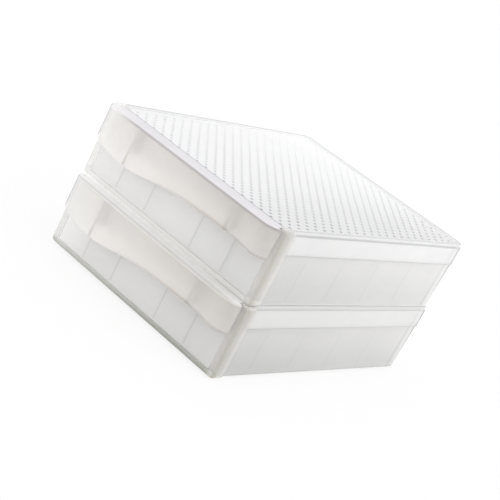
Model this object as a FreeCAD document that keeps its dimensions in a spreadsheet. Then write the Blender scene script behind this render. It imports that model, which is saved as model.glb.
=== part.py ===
import FreeCAD, Part
import Sketcher
import math
import os
import re
from FreeCAD import Vector

# Two-tier drawer box for a fridge, in millimetres.
# The origin is the middle of the footprint on the shelf: X to the right, Y to the back, Z up.
# Each tier is built at the height of the lower one, and its placement lifts the upper tier.

SIZES = {
    # the whole box
    "frame_width": 220.0,
    "body_depth": 290.0,
    "tier_pitch": 70.0,
    "moving_gap": 0.3,
    "cut_overrun": 5.0,
    # front frame, the collar that the drawer slides through
    "frame_depth": 12.0,
    "frame_post": 8.0,
    "frame_sill": 5.0,
    "frame_rail": 5.4,
    "frame_corner": 4.0,
    "frame_edge": 2.4,
    "opening_corner": 1.5,
    "foot_stand": 2.2,
    # housing, the sleeve behind the front frame
    "housing_inset": 2.5,
    "housing_lean": 1.2,
    "housing_wall": 1.8,
    "housing_floor": 1.8,
    "housing_shoulder": 50.0,
    "housing_corner": 8.0,
    "skirt_step": 0.8,
    "glide_offset": 70.0,
    "glide_width": 3.0,
    "side_rib_width": 2.0,
    "side_rib_gap": 0.4,
    "rib_sink": 0.3,
    # lid frame and its vented panel
    "skirt_wall": 2.1,
    "lid_top": 1.8,
    "lid_shoulder_drop": 1.5,
    "rim_width": 2.0,
    "rim_set_in": 1.3,
    "panel_thick": 2.0,
    "panel_ledge": 2.0,
    "panel_corner": 4.0,
    "dot_pitch_across": 11.4,
    "dot_pitch_back": 12.3,
    "dot_size": 3.2,
    "dot_margin": 6.5,
    # drawer
    "drawer_wall": 1.8,
    "drawer_floor": 1.8,
    "drawer_front": 2.5,
    "drawer_back_gap": 4.0,
    "drawer_headroom": 1.0,
    "drawer_corner": 6.0,
    "drawer_travel": 200.0,
    "stop_height": 3.5,
    "stop_width": 3.0,
    "stop_length": 8.0,
    # wave-edged handle on the drawer's front
    "handle_reach": 15.0,
    "handle_wall": 1.8,
    "handle_corner": 15.0,
    "handle_inset": 3.0,
    "handle_end_gap": 4.8,
    "handle_drop": 37.5,
    "gusset_offset": 61.5,
    "gusset_thick": 2.4,
    "gusset_drop": 25.0,
    # dividers and the guides that hold them
    "divider_inner": 29.5,
    "divider_outer": 68.0,
    "divider_thick": 1.6,
    "divider_height": 37.0,
    "divider_corner": 4.0,
    "guide_thick": 1.2,
    "guide_depth": 1.6,
    # feet
    "foot_radius": 8.0,
    "foot_edge_inset": 24.0,
    "foot_stem_radius": 2.5,
}

SIDE_RIB_COUNT = 4

# The handle's wavy lower edge: where along the frame's width, and how much of the full drop it hangs there.
WAVE_SHARES = [(-0.52, 0.64), (-0.47, 0.77), (-0.41, 0.905), (-0.36, 0.955), (-0.29, 1.0), (-0.24, 0.985),
               (-0.17, 0.93), (-0.08, 0.83), (0.04, 0.745), (0.15, 0.71), (0.26, 0.69), (0.35, 0.70),
               (0.43, 0.745), (0.48, 0.75), (0.52, 0.73)]
DIVIDER_SIDES = [("divider_outer", -1), ("divider_inner", -1), ("divider_inner", 1), ("divider_outer", 1)]

# Places that several pieces share, worked out from the sizes above.
PLACES = {
    "front_y": "(handle_reach - body_depth) / 2",
    "back_y": "front_y + body_depth",
    "frame_half": "frame_width / 2",
    "frame_bottom": "foot_stand",
    "frame_top": "frame_bottom + tier_pitch - moving_gap",
    "sill_top": "frame_bottom + frame_sill",
    "frame_back": "front_y + frame_depth",
    "opening_half": "frame_half - frame_post",
    "panel_top": "tier_pitch - moving_gap",
    "panel_bottom": "panel_top - panel_thick",
    "rail_top": "panel_bottom - moving_gap",
    "rail_bottom": "rail_top - frame_rail",
    "rail_front": "front_y + drawer_front + moving_gap",
    "housing_bottom": "frame_bottom",
    "floor_top": "housing_bottom + housing_floor",
    "housing_half": "frame_half - housing_inset",
    "housing_back": "back_y - skirt_step",
    "skirt_half": "housing_half + skirt_step",
    "skirt_bottom": "housing_shoulder + moving_gap",
    "skirt_in": "skirt_half - skirt_wall",
    "skirt_back": "back_y - skirt_wall",
    "skirt_corner": "housing_corner + skirt_step",
    "neck_half": "skirt_in - moving_gap",
    "neck_back": "skirt_back - moving_gap",
    "cavity_half": "neck_half - housing_wall",
    "cavity_back": "neck_back - housing_wall",
    "shoulder_top": "panel_top - lid_shoulder_drop",
    "lid_under": "shoulder_top - lid_top",
    "rim_top": "frame_top",
    "rim_half": "skirt_half - rim_set_in",
    "rim_back": "back_y - rim_set_in",
    "rim_corner": "skirt_corner - rim_set_in",
    "panel_half": "rim_half - rim_width",
    "panel_back": "rim_back - rim_width",
    "tray_half": "opening_half - moving_gap",
    "tray_back": "cavity_back - drawer_back_gap",
    "tray_bottom": "sill_top + moving_gap",
    "tray_floor_top": "tray_bottom + drawer_floor",
    "tray_top": "rail_bottom - drawer_headroom",
    "tray_in": "tray_half - drawer_wall",
    "tray_corner": "opening_corner - moving_gap",
    "tray_front_in": "front_y + drawer_front",
    "tray_back_in": "tray_back - drawer_wall",
    "ledge_bottom": "frame_top - handle_wall",
    "handle_front": "front_y - handle_reach",
    "handle_back": "front_y - handle_end_gap",
    "handle_half": "frame_half - handle_inset",
    "divider_top": "tray_floor_top + divider_height",
    "foot_x": "frame_half - foot_edge_inset",
    "foot_front_y": "frame_back + foot_edge_inset",
    "foot_back_y": "back_y - foot_edge_inset",
}

WORD = re.compile(r"[a-z_]+[a-z_0-9]*")
doc = FreeCAD.newDocument("FridgeOrganizer")


def makeSheet():
    sheet = doc.addObject("Spreadsheet::Sheet", "Sizes")
    for row, (alias, value) in enumerate(SIZES.items(), start=1):
        sheet.set(f"A{row}", alias)
        sheet.set(f"B{row}", str(value))
        sheet.setAlias(f"B{row}", alias)
    doc.recompute()
    return sheet


def bound(text):
    """The text as an expression on the sheet's cells, with every shared place written out."""
    def swap(match):
        word = match.group(0)
        if word in PLACES:
            return f"({bound(PLACES[word])})"
        return f"Sizes.{word}" if word in SIZES else word
    return WORD.sub(swap, text)


def value(text):
    """The number that an expression gives now."""
    return float(sizes.evalExpression(bound(text)))


def addLine(sketch, start, end):
    return sketch.addGeometry(Part.LineSegment(Vector(*start, 0), Vector(*end, 0)), False)


def hold(sketch, constraint, name, text=None):
    index = sketch.addConstraint(constraint)
    if text is not None:
        sketch.renameConstraint(index, name)
        sketch.setExpression(f"Constraints.{name}", bound(text))


def placeSides(sketch, sides, tag, u, v):
    """Hold the four sides of a rectangle at their distances from the sketch's origin."""
    low, right, high, left = sides
    for kind, line, text, end in (("X", left, u[0], "from"), ("X", right, u[1], "to"),
                                  ("Y", low, v[0], "from"), ("Y", high, v[1], "to")):
        rule = Sketcher.Constraint(f"Distance{kind}", -1, 1, line, 1, value(text))
        hold(sketch, rule, f"{tag}_{kind.lower()}_{end}", text)


def addRectangle(sketch, tag, u, v):
    u0, u1, v0, v1 = value(u[0]), value(u[1]), value(v[0]), value(v[1])
    corners = [(u0, v0), (u1, v0), (u1, v1), (u0, v1)]
    sides = [addLine(sketch, corners[k], corners[(k + 1) % 4]) for k in range(4)]
    for k in range(4):
        hold(sketch, Sketcher.Constraint("Coincident", sides[k], 2, sides[(k + 1) % 4], 1), "")
        hold(sketch, Sketcher.Constraint("Vertical" if k % 2 else "Horizontal", sides[k]), "")
    placeSides(sketch, sides, tag, u, v)


def addRoundedRectangle(sketch, tag, u, v, radius):
    u0, u1, v0, v1, r = value(u[0]), value(u[1]), value(v[0]), value(v[1]), value(radius)
    runs = [((u0 + r, v0), (u1 - r, v0)), ((u1, v0 + r), (u1, v1 - r)),
            ((u1 - r, v1), (u0 + r, v1)), ((u0, v1 - r), (u0, v0 + r))]
    centres = [(u1 - r, v0 + r), (u1 - r, v1 - r), (u0 + r, v1 - r), (u0 + r, v0 + r)]
    sides = [addLine(sketch, *run) for run in runs]
    arcs = []
    for k, centre in enumerate(centres):
        circle = Part.Circle(Vector(*centre, 0), Vector(0, 0, 1), r)
        turn = (k - 1) * math.pi / 2
        arcs.append(sketch.addGeometry(Part.ArcOfCircle(circle, turn, turn + math.pi / 2), False))
    for k in range(4):
        hold(sketch, Sketcher.Constraint("Tangent", sides[k], 2, arcs[k], 1), "")
        hold(sketch, Sketcher.Constraint("Tangent", arcs[k], 2, sides[(k + 1) % 4], 1), "")
        hold(sketch, Sketcher.Constraint("Vertical" if k % 2 else "Horizontal", sides[k]), "")
    for arc in arcs[1:]:
        hold(sketch, Sketcher.Constraint("Equal", arcs[0], arc), "")
    hold(sketch, Sketcher.Constraint("Radius", arcs[0], r), f"{tag}_radius", radius)
    placeSides(sketch, sides, tag, u, v)


def originPlane(body, role):
    return next(f for f in body.Origin.OriginFeatures if f.Role == role)


def makeSketch(body, name, along, offset):
    role = {"x": "YZ_Plane", "y": "XZ_Plane", "z": "XY_Plane"}[along]
    sketch = body.newObject("Sketcher::SketchObject", name)
    sketch.AttachmentSupport = [(originPlane(body, role), "")]
    sketch.MapMode = "FlatFace"
    sketch.setExpression("AttachmentOffset.Base.z", bound(offset))
    return sketch


def extrude(body, name, along, span, cut, draw):
    """Pad or pocket what draw puts in a sketch, over the span along one axis.
    The front plane's normal points to -Y, so there the far end of the span is where a pad starts."""
    low, high = span
    if along == "y":
        low, high = f"-({span[1]})", f"-({span[0]})"
    sketch = makeSketch(body, f"{name}_sketch", along, high if cut else low)
    draw(sketch)
    feature = body.newObject("PartDesign::Pocket" if cut else "PartDesign::Pad", name)
    feature.Profile = sketch
    feature.setExpression("Length", bound(f"({high}) - ({low})"))
    body.Tip = feature
    return feature


def block(body, name, x, y, z, radius=None, along="z", cut=False):
    """A box, or a box with four rounded edges along one axis, added to a body or cut from it."""
    spans = {"x": x, "y": y, "z": z}
    u, v = {"x": (y, z), "y": (x, z), "z": (x, y)}[along]

    def draw(sketch):
        if radius is None:
            addRectangle(sketch, "side", u, v)
        else:
            addRoundedRectangle(sketch, "side", u, v, radius)
    return extrude(body, name, along, spans[along], cut, draw)


def mirrored(half):
    return (f"-({half})", half)


def newBody(label, tier):
    body = doc.addObject("PartDesign::Body", label)
    body.Label = label
    liftTier(body, tier)
    return body


def liftTier(piece, tier):
    piece.setExpression("Placement.Base.z", bound(f"{tier} * tier_pitch"))


def roundEdges(body, name, radius, wanted):
    """Round the edges of the body's tip that wanted picks."""
    doc.recompute()
    base = body.Tip
    names = [f"Edge{n}" for n, edge in enumerate(base.Shape.Edges, start=1) if wanted(edge)]
    fillet = body.newObject("PartDesign::Fillet", name)
    fillet.Base = (base, names)
    fillet.setExpression("Radius", bound(radius))
    body.Tip = fillet


def liesOn(edge, axis, text):
    """Whether the whole edge lies in the plane where that axis has that value."""
    near = 1e-4 * value("moving_gap")
    place = value(text)
    low, high = getattr(edge.BoundBox, f"{axis}Min"), getattr(edge.BoundBox, f"{axis}Max")
    return abs(low - place) < near and abs(high - place) < near


def isOuterContour(edge):
    """Edges of the frame's face that run along its outside, not round its opening."""
    box = edge.BoundBox
    inner = value("opening_half")
    outside = max(abs(box.XMin), abs(box.XMax)) > inner + value("opening_corner")
    return outside or box.ZMax < value("frame_bottom + frame_edge")


def makeFrontFrame(tier, label):
    body = newBody(label, tier)
    depth = ("front_y", "frame_back")
    block(body, label + "_outline", mirrored("frame_half"), depth, ("frame_bottom", "frame_top"),
          "frame_corner", along="y")
    block(body, label + "_opening", mirrored("opening_half"), depth, ("sill_top", "rail_bottom"),
          "opening_corner", along="y", cut=True)
    # The drawer's tall front stands before the rail, and the lid's panel lies on it.
    block(body, label + "_front_seat", mirrored("opening_half"), ("front_y", "rail_front"),
          ("rail_bottom - opening_corner", "frame_top"), along="y", cut=True)
    block(body, label + "_panel_seat", mirrored("opening_half"), ("rail_front", "frame_back"),
          ("rail_top", "frame_top"), along="y", cut=True)
    roundEdges(body, label + "_rounding", "frame_edge",
               lambda edge: liesOn(edge, "Y", "front_y") and isOuterContour(edge))
    return body


def makeHousing(tier, label):
    """A sleeve: its lower wall leans out to a shoulder, and a neck above it goes inside the lid."""
    body = newBody(label, tier)
    ahead = "front_y - cut_overrun - housing_corner"
    loft = body.newObject("PartDesign::AdditiveLoft", label + "_wall")
    sections = []
    for place, lean in (("housing_bottom", "housing_lean"), ("housing_shoulder", "0 * housing_lean")):
        sketch = makeSketch(body, f"{label}_{place}", "z", place)
        addRoundedRectangle(sketch, "wall", mirrored(f"housing_half - {lean}"),
                            (ahead, f"housing_back - {lean}"), "housing_corner")
        sections.append(sketch)
    loft.Profile = sections[0]
    loft.Sections = [sections[1]]
    loft.Ruled = True
    body.Tip = loft
    block(body, label + "_neck", mirrored("neck_half"), (ahead, "neck_back"),
          ("housing_shoulder - housing_floor", "lid_under - moving_gap"), "housing_corner - housing_wall")
    block(body, label + "_cavity", mirrored("cavity_half"), (f"{ahead} - housing_corner", "cavity_back"),
          ("floor_top", "lid_under + cut_overrun"), "housing_corner - 2 * housing_wall", cut=True)
    block(body, label + "_front_cut", mirrored("frame_half"), (f"{ahead} - cut_overrun", "frame_back"),
          ("frame_bottom - cut_overrun", "frame_top + cut_overrun"), cut=True)
    addGlides(body, label)
    addStemHoles(body, label)
    return body


def addGlides(body, label):
    """Two long ribs under the drawer, and short upright ribs that keep it off the side walls."""
    def glides(sketch):
        for side in (-1, 1):
            centre = f"{side} * glide_offset"
            addRectangle(sketch, f"glide{side + 1}", (f"{centre} - glide_width / 2", f"{centre} + glide_width / 2"),
                         ("frame_back", "cavity_back + rib_sink"))
    extrude(body, label + "_glides", "z", ("floor_top - rib_sink", "sill_top"), False, glides)

    def sideRibs(sketch):
        for side in (-1, 1):
            near, far = f"{side} * (tray_half + side_rib_gap)", f"{side} * (cavity_half + rib_sink)"
            across = (far, near) if side < 0 else (near, far)
            for k in range(1, SIDE_RIB_COUNT + 1):
                centre = f"front_y + body_depth * {k} / {SIDE_RIB_COUNT + 1}"
                addRectangle(sketch, f"rib{side + 1}_{k}", across,
                             (f"{centre} - side_rib_width / 2", f"{centre} + side_rib_width / 2"))
    extrude(body, label + "_side_ribs", "z", ("floor_top - rib_sink", "housing_shoulder"), False, sideRibs)


def footPlaces():
    return [(f"{side} * foot_x", place) for side in (-1, 1) for place in ("foot_front_y", "foot_back_y")]


def addStemHoles(body, label):
    def holes(sketch):
        for k, (x, y) in enumerate(footPlaces()):
            circle = Part.Circle(Vector(value(x), value(y), 0), Vector(0, 0, 1), value("foot_stem_radius"))
            hole = sketch.addGeometry(circle, False)
            hold(sketch, Sketcher.Constraint("Radius", hole, circle.Radius), f"hole{k}_radius", "foot_stem_radius")
            hold(sketch, Sketcher.Constraint("DistanceX", -1, 1, hole, 3, value(x)), f"hole{k}_x", x)
            hold(sketch, Sketcher.Constraint("DistanceY", -1, 1, hole, 3, value(y)), f"hole{k}_y", y)
    extrude(body, label + "_stem_holes", "z", ("housing_bottom", "floor_top"), True, holes)


def makeLidFrame(tier, label):
    """The lid's skirt, its stacking rim and the ledge that carries the vented panel."""
    body = newBody(label, tier)
    ahead = "front_y - cut_overrun - skirt_corner"
    start = "frame_back + moving_gap"
    block(body, label + "_skirt", mirrored("skirt_half"), (ahead, "back_y"),
          ("skirt_bottom", "shoulder_top"), "skirt_corner")
    block(body, label + "_rim", mirrored("rim_half"), (ahead, "rim_back"),
          ("shoulder_top", "rim_top"), "rim_corner")
    block(body, label + "_inside", mirrored("skirt_in"), (f"{ahead} - skirt_corner", "skirt_back"),
          ("skirt_bottom", "lid_under"), "skirt_corner - skirt_wall", cut=True)
    block(body, label + "_front_cut", mirrored("frame_half"), (f"{ahead} - cut_overrun", start),
          ("skirt_bottom - cut_overrun", "rim_top + cut_overrun"), cut=True)
    block(body, label + "_panel_seat", mirrored("panel_half"), (f"{ahead} - cut_overrun", "panel_back"),
          ("panel_bottom", "rim_top"), "panel_corner", cut=True)
    block(body, label + "_window", mirrored("panel_half - panel_ledge"),
          (f"{start} + panel_ledge", "panel_back - panel_ledge"), ("lid_under", "panel_bottom"),
          "panel_corner", cut=True)
    return body


def dotCentres(half, front, back):
    """Places of the dots: rows half a pitch apart, every second row shifted by half a pitch."""
    across, row_step = value("dot_pitch_across"), value("dot_pitch_back / 2")
    margin = value("dot_margin")
    rows = int((back - front - 2 * margin) / row_step) + 1
    first = (front + back - (rows - 1) * row_step) / 2
    centres = []
    for row in range(rows):
        shift = across / 2 if row % 2 else 0.0
        reach = int((half - margin - shift) / across)
        places = [shift + k * across for k in range(reach + 1)]
        row_places = sorted({-place for place in places} | set(places))
        centres += [Vector(place, first + row * row_step, 0) for place in row_places]
    return centres


def makeVentPanel(tier, label):
    """The dotted plate. Between the posts it runs forward to the drawer's front."""
    gap = value("moving_gap")
    half = value("panel_half") - gap
    tongue = value("tray_half")
    front, step, back = value("rail_front"), value("frame_back") + gap, value("panel_back") - gap
    outline = Part.makePolygon([Vector(-tongue, front, 0), Vector(tongue, front, 0), Vector(tongue, step, 0),
                                Vector(half, step, 0), Vector(half, back, 0), Vector(-half, back, 0),
                                Vector(-half, step, 0), Vector(-tongue, step, 0), Vector(-tongue, front, 0)])
    up = Vector(0, 0, 1)
    plate = Part.Face(outline).extrude(up * value("panel_thick"))
    corners = [edge for edge in plate.Edges
               if edge.BoundBox.ZLength > gap and abs(edge.BoundBox.YMax - back) < gap]
    plate = plate.makeFillet(value("panel_corner"), corners)
    pins = [Part.makeCylinder(value("dot_size") / 2, value("panel_thick"), centre, up)
            for centre in dotCentres(half, front, back)]
    panel = doc.addObject("Part::Feature", label)
    panel.Label = label
    panel.Shape = plate.cut(Part.makeCompound(pins))
    panel.Placement.Base.z = value(f"panel_bottom + {tier} * tier_pitch")
    print(label, "dots", len(pins))
    return panel


def dividerCentre(index):
    name, side = DIVIDER_SIDES[index]
    return f"{side} * {name}"


def isTraySideEdge(edge):
    """Lower edges along the drawer's two sides."""
    low = liesOn(edge, "Z", "tray_bottom")
    return low and (liesOn(edge, "X", "tray_half") or liesOn(edge, "X", "-(tray_half)"))


def makeDrawer(tier, label):
    body = newBody(label, tier)
    block(body, label + "_tray", mirrored("tray_half"), ("front_y + drawer_front / 2", "tray_back"),
          ("tray_bottom", "tray_top"), "drawer_corner")
    block(body, label + "_front", mirrored("tray_half"), ("front_y", "front_y + drawer_front"),
          ("tray_bottom", "ledge_bottom"))
    # The tray's square front corners, behind the posts
    block(body, label + "_front_corners", mirrored("tray_half"), ("tray_front_in - drawer_front / 2", "frame_back"),
          ("tray_bottom", "tray_top"))
    # The lower edges follow the rounded corners of the opening that the drawer slides through.
    roundEdges(body, label + "_lower_rounding", "tray_corner", isTraySideEdge)
    block(body, label + "_inside", mirrored("tray_in"), ("tray_front_in", "tray_back_in"),
          ("tray_floor_top", "tray_top"), "drawer_corner - drawer_wall", cut=True)
    addGuides(body, label)
    addStops(body, label)
    return body


def addGuides(body, label):
    """Pairs of upright ribs, on the front and back walls, that hold each divider between them."""
    def guides(sketch):
        for k in range(len(DIVIDER_SIDES)):
            for side in (-1, 1):
                near = f"{dividerCentre(k)} + {side} * (divider_thick / 2 + moving_gap)"
                far = f"{near} + {side} * guide_thick"
                across = (far, near) if side < 0 else (near, far)
                addRectangle(sketch, f"front{k}_{side + 1}", across,
                             ("tray_front_in - rib_sink", "tray_front_in + guide_depth"))
                addRectangle(sketch, f"back{k}_{side + 1}", across,
                             ("tray_back_in - guide_depth", "tray_back_in + rib_sink"))
    extrude(body, label + "_guides", "z", ("tray_floor_top - rib_sink", "divider_top"), False, guides)


def addStops(body, label):
    """Two tabs on the side walls that meet the frame's rail when the drawer is out."""
    def stops(sketch):
        start = "frame_back + drawer_travel + moving_gap"
        for side in (-1, 1):
            near, far = f"{side} * (tray_half - stop_width)", f"{side} * tray_half"
            across = (far, near) if side < 0 else (near, far)
            addRectangle(sketch, f"stop{side + 1}", across, (start, f"{start} + stop_length"))
    extrude(body, label + "_stops", "z", ("tray_top - rib_sink", "tray_top + stop_height"), False, stops)


def makeWaveCutter(label):
    """Everything below the handle's wavy edge, as one solid."""
    top = value("frame_top")
    low = top - value("handle_drop + 2 * cut_overrun")
    y = value("handle_front - cut_overrun")
    curve = Part.BSplineCurve()
    curve.interpolate([Vector(along * value("frame_width"), y, top - drop * value("handle_drop"))
                       for along, drop in WAVE_SHARES])
    ends = [curve.StartPoint, curve.EndPoint]
    feet = [Vector(end.x, y, low) for end in ends]
    wire = Part.Wire([curve.toShape(), Part.makeLine(ends[1], feet[1]),
                      Part.makeLine(feet[1], feet[0]), Part.makeLine(feet[0], ends[0])])
    cutter = doc.addObject("Part::Feature", label)
    cutter.Shape = Part.Face(wire).extrude(Vector(0, value("handle_reach + 2 * cut_overrun"), 0))
    return cutter


def makeHandle(tier, label):
    """A ledge over the drawer's front, a curved flap that hangs from it and two gussets behind the flap."""
    body = doc.addObject("PartDesign::Body", label + "_blank")
    low = "frame_top - handle_drop - cut_overrun"
    behind = "handle_back + 2 * handle_corner"
    block(body, label + "_outline", mirrored("handle_half"), ("handle_front", behind),
          (low, "frame_top"), "handle_corner")
    block(body, label + "_finger_space", mirrored("handle_half - handle_wall"),
          ("handle_front + handle_wall", f"{behind} - handle_wall"),
          (low, "ledge_bottom"), "handle_corner - handle_wall", cut=True)
    block(body, label + "_back_cut", mirrored("frame_half"), ("handle_back", f"{behind} + cut_overrun"),
          (f"{low} - cut_overrun", "frame_top + cut_overrun"), cut=True)
    block(body, label + "_seat", mirrored("tray_half"), ("handle_back - rib_sink", "front_y + drawer_front"),
          ("ledge_bottom", "frame_top"))

    def gussets(sketch):
        for side in (-1, 1):
            centre = f"{side} * gusset_offset"
            addRectangle(sketch, f"gusset{side + 1}",
                         (f"{centre} - gusset_thick / 2", f"{centre} + gusset_thick / 2"),
                         ("handle_front + handle_wall - rib_sink", "front_y"))
    extrude(body, label + "_gussets", "z", ("ledge_bottom - gusset_drop", "ledge_bottom + rib_sink"), False, gussets)
    roundEdges(body, label + "_rounding", "handle_wall / 2",
               lambda edge: liesOn(edge, "Z", "frame_top") and edge.BoundBox.YMin < value("handle_back - rib_sink"))
    doc.recompute()
    handle = doc.addObject("Part::Cut", label)
    handle.Label = label
    handle.Base = body
    handle.Tool = makeWaveCutter(label + "_wave")
    liftTier(handle, tier)
    return handle


def makeDivider(tier, label, index):
    body = newBody(label, tier)
    centre = dividerCentre(index)
    block(body, label + "_plate", (f"{centre} - divider_thick / 2", f"{centre} + divider_thick / 2"),
          ("tray_front_in + moving_gap", "tray_back_in - moving_gap"),
          ("tray_floor_top + moving_gap", "divider_top + moving_gap"), "divider_corner", along="x")
    return body


def makeFeet(tier, label):
    """Four soft pads, each with a stem pressed into a hole of the housing's floor."""
    pieces = []
    for k, (x, y) in enumerate(footPlaces()):
        for part, radius, low, high in (("pad", "foot_radius", "0 * foot_stand", "housing_bottom"),
                                        ("stem", "foot_stem_radius", "housing_bottom - rib_sink", "floor_top")):
            cylinder = doc.addObject("Part::Cylinder", f"{label}_{part}_{k}")
            cylinder.setExpression("Radius", bound(radius))
            cylinder.setExpression("Height", bound(f"({high}) - ({low})"))
            cylinder.setExpression("Placement.Base.x", bound(x))
            cylinder.setExpression("Placement.Base.y", bound(y))
            cylinder.setExpression("Placement.Base.z", bound(low))
            pieces.append(cylinder)
    feet = doc.addObject("Part::MultiFuse", label)
    feet.Label = label
    feet.Shapes = pieces
    liftTier(feet, tier)
    return feet


def makeTier(tier, name):
    pieces = [makeHousing(tier, f"{name}_housing"), makeFrontFrame(tier, f"{name}_front_frame"),
              makeLidFrame(tier, f"{name}_lid_frame"), makeVentPanel(tier, f"{name}_vent_panel"),
              makeDrawer(tier, f"{name}_drawer"), makeHandle(tier, f"{name}_handle"),
              makeFeet(tier, f"{name}_feet")]
    for index in range(len(DIVIDER_SIDES)):
        pieces.append(makeDivider(tier, f"{name}_divider_{index + 1}", index))
    return pieces


def checkModel(pieces):
    """Stop if an object failed, a shape is broken, a pad added nothing or a pocket cut nothing."""
    for item in doc.Objects:
        if "Invalid" in item.State or "Error" in item.State:
            raise RuntimeError(f"{item.Label} failed: {item.State}")
        grows = {"PartDesign::Pad": 1, "PartDesign::Pocket": -1}.get(item.TypeId)
        if grows and item.BaseFeature is not None:
            if grows * (item.Shape.Volume - item.BaseFeature.Shape.Volume) <= 0:
                raise RuntimeError(f"{item.Label} changed nothing")
    for piece in pieces:
        if piece.Shape.isNull() or not piece.Shape.isValid():
            raise RuntimeError(f"{piece.Label} has no valid shape")


sizes = makeSheet()
allPieces = makeTier(0, "lower") + makeTier(1, "upper")
doc.recompute()
checkModel(allPieces)
os.makedirs("parts", exist_ok=True)
for piece in allPieces:
    box = piece.Shape.BoundBox
    print(piece.Label, "solids", len(piece.Shape.Solids), "volume", round(piece.Shape.Volume),
          "x", round(box.XMin, 2), round(box.XMax, 2), "y", round(box.YMin, 2), round(box.YMax, 2),
          "z", round(box.ZMin, 2), round(box.ZMax, 2))
    piece.Shape.exportStep(f"parts/{piece.Label}.step")
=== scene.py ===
import math
import bmesh
import bpy
from mathutils import Matrix, Vector


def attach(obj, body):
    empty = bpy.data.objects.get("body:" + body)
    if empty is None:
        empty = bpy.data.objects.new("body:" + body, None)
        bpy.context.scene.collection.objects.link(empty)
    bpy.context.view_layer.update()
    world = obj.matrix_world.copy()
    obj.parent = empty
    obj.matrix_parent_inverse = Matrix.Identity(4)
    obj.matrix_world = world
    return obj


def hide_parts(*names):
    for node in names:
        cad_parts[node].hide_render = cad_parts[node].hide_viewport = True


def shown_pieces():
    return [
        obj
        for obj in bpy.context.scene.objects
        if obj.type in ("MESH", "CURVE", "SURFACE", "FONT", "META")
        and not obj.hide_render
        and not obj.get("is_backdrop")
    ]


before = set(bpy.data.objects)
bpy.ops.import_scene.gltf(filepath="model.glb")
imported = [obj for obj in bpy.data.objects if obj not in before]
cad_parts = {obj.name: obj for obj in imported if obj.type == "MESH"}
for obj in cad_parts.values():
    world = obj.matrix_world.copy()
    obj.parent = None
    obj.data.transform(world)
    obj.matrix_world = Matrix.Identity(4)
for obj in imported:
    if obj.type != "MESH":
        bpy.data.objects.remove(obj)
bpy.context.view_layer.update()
mm = 0.001
tierPitch = 70 * mm  # the upper tier is the lower one, this much higher
seamRise = 2.05 * mm  # what lies less than this above the pitch still belongs to the lower tier
tiers = {"lower": 0.0, "upper": tierPitch}
slack = 0.02  # in mm: how close two places have to be to count as one
hair = 0.2  # in mm: how far a rib runs into its wall, and the slack round a curved corner
past = 5.0  # in mm: how far a cutter reaches past the piece
smoothAngle = 35  # in degrees: edges sharper than this are softened and stay crisp


# Modelling helpers, used the way one works in edit mode. Lengths are in mm, and in the functions that
# make the pieces size is the piece's own dictionary

def deselectAll():
    if bpy.context.object and bpy.context.object.mode != "OBJECT":
        bpy.ops.object.mode_set(mode="OBJECT")
    bpy.ops.object.select_all(action="DESELECT")


def addBlock(name, low, high):
    deselectAll()
    low, high = Vector(low) * mm, Vector(high) * mm
    bpy.ops.mesh.primitive_cube_add(size=1, location=(low + high) / 2)
    block = bpy.context.object
    block.name = block.data.name = name
    block.scale = high - low
    bpy.ops.object.transform_apply(location=True, rotation=True, scale=True)
    return block


def choose(piece, kind, test):
    # goes into edit mode and selects the vertices, edges or faces that pass the test
    if bpy.context.object != piece or piece.mode != "EDIT":
        deselectAll()
        piece.select_set(True)
        bpy.context.view_layer.objects.active = piece
        bpy.ops.object.mode_set(mode="EDIT")
    bpy.ops.mesh.select_mode(type=kind)
    bpy.ops.mesh.select_all(action="DESELECT")
    mesh = bmesh.from_edit_mesh(piece.data)
    items = {"VERT": mesh.verts, "EDGE": mesh.edges, "FACE": mesh.faces}[kind]
    for item in items:
        if test(item):
            item.select_set(True)
    mesh.select_flush_mode()
    bmesh.update_edit_mesh(piece.data)


def near(value, place):
    return abs(value - place * mm) < slack * mm


def flatAt(item, axis, place):
    return all(near(vert.co[axis], place) for vert in item.verts)


def runsAlong(edge, axis):
    step = edge.verts[1].co - edge.verts[0].co
    return abs(step[axis]) > 0.99 * step.length


def uprightBehind(edge):
    return runsAlong(edge, 2) and all(vert.co.y > 0 for vert in edge.verts)


def roundOff(piece, radius, segments, test):
    choose(piece, "EDGE", test)
    bpy.ops.mesh.bevel(offset=radius * mm, segments=segments, profile=0.5, affect="EDGES")


def cutAt(piece, place, normal, clear=False, fill=False):
    choose(piece, "FACE", lambda face: True)
    bpy.ops.mesh.bisect(plane_co=Vector(place) * mm, plane_no=normal, clear_outer=clear, use_fill=fill)


def deleteFaces(piece, test):
    choose(piece, "FACE", test)
    bpy.ops.mesh.delete(type="FACE")


def applyModifier(piece, kind, **values):
    deselectAll()
    piece.select_set(True)
    bpy.context.view_layer.objects.active = piece
    modifier = piece.modifiers.new(kind.title(), kind)
    for key, value in values.items():
        setattr(modifier, key, value)
    bpy.ops.object.modifier_apply(modifier=modifier.name)


def subtract(piece, cutter):
    applyModifier(piece, "BOOLEAN", operation="DIFFERENCE", solver="EXACT", object=cutter)
    bpy.data.objects.remove(cutter)


def extrudeBy(*move):
    bpy.ops.mesh.extrude_region_move(TRANSFORM_OT_translate={"value": Vector(move) * mm})


def joinPieces(main, others):
    deselectAll()
    for other in others:
        other.select_set(True)
    main.select_set(True)
    bpy.context.view_layer.objects.active = main
    bpy.ops.object.join()


def softenEdges(piece, width, segments=2):
    applyModifier(piece, "BEVEL", width=width * mm, segments=segments, limit_method="ANGLE",
                  angle_limit=math.radians(smoothAngle), use_clamp_overlap=True)
    bpy.ops.object.shade_smooth_by_angle(angle=math.radians(smoothAngle))


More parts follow.
